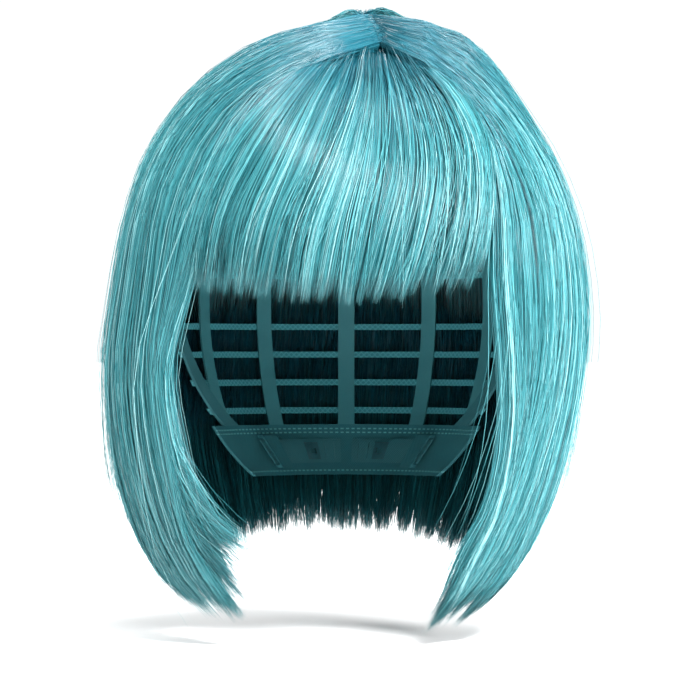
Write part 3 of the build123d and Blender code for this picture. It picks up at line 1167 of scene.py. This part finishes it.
@dataclass
class Studio:
    """A pale floor, soft lights and the camera. Lengths are in metres."""

    floor_drop: float = 0.003
    distance: float = 1.40
    camera_x: float = 0.0016
    camera_z: float = -0.020
    view_width: float = 0.2857
    sensor: float = 36.0
    ambient: float = 0.5
    backdrop: float = 1.05

    def camera(self) -> None:
        """Sets the camera level before the face."""
        data = bpy.data.cameras.new("camera")
        data.sensor_width = self.sensor
        data.lens = self.sensor * self.distance / self.view_width
        made = bpy.data.objects.new("camera", data)
        made.location = (self.camera_x, -self.distance, self.camera_z)
        made.rotation_euler = (math.radians(90), 0, 0)
        bpy.context.collection.objects.link(made)
        bpy.context.scene.camera = made

    def lamp(self, name: str, place: tuple, size: float, power: float, aim: tuple = (0, 0, 0.0)) -> None:
        """Adds a square soft light that faces a point."""
        data = bpy.data.lights.new(name, "AREA")
        data.size = size
        data.energy = power
        made = bpy.data.objects.new(name, data)
        made.location = place
        way = Vector(aim) - Vector(place)
        made.rotation_euler = way.to_track_quat("-Z", "Y").to_euler()
        bpy.context.collection.objects.link(made)

    def sun(self, name: str, place: tuple, strength: float, spread: float) -> None:
        """Adds a far soft light. Args: place, where it shines from; strength in W/m2; spread in degrees."""
        data = bpy.data.lights.new(name, "SUN")
        data.energy = strength
        data.angle = math.radians(spread)
        made = bpy.data.objects.new(name, data)
        made.location = place
        made.rotation_euler = (-Vector(place)).to_track_quat("-Z", "Y").to_euler()
        bpy.context.collection.objects.link(made)

    def _world(self) -> bpy.types.World:
        """Returns: a world that shows white and lights the object more softly than it shows."""
        world = bpy.data.worlds.new("studio")
        world.use_nodes = True
        tree = world.node_tree
        background = tree.nodes["Background"]
        background.inputs["Color"].default_value = (1.0, 1.0, 1.0, 1.0)
        seen = tree.nodes.new("ShaderNodeLightPath")
        strength = tree.nodes.new("ShaderNodeMapRange")
        strength.inputs["To Min"].default_value = self.ambient
        strength.inputs["To Max"].default_value = self.backdrop
        tree.links.new(seen.outputs["Is Camera Ray"], strength.inputs["Value"])
        tree.links.new(strength.outputs["Result"], background.inputs["Strength"])
        return world

    def floor(self) -> None:
        """Lays the pale floor just under the longest strands."""
        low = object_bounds()[0][2] - self.floor_drop
        bpy.ops.mesh.primitive_plane_add(size=60, location=(0, 0, low))
        made = bpy.context.active_object
        made.name = "floor"
        bench = Bench("floor_paint")
        paint = bench.principled(Base_Color=(0.97, 0.97, 0.97, 1.0), Roughness=0.9)
        made.data.materials.append(bench.finish(paint))
        made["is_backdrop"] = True

    def build(self) -> None:
        """Sets up the world, lights, floor and camera."""
        scene = bpy.context.scene
        scene.view_settings.view_transform = "Standard"
        scene.world = self._world()
        self.sun("key", (0.50, -0.95, 1.10), 5.7, 12.0)
        self.lamp("side", (1.20, -0.80, 0.45), 0.45, 30.0)
        self.lamp("top", (0.10, -0.25, 1.50), 0.6, 18.0, (0, 0, 0.05))
        self.lamp("fill", (-1.10, -0.80, 0.70), 0.6, 4.0)
        self.lamp("back", (-0.2, 1.2, 0.7), 0.8, 14.0)
        self.floor()
        self.camera()


def main() -> None:
    """Builds the wig's looks, piece by piece."""
    logging.basicConfig(level=logging.INFO, format="%(name)s: %(message)s")
    fibre = FibreFinish().make()
    Cap().build()
    Haircut(Hull(), fibre, Strands(11)).build()
    Studio().build()


if __name__ == "__main__":
    main()
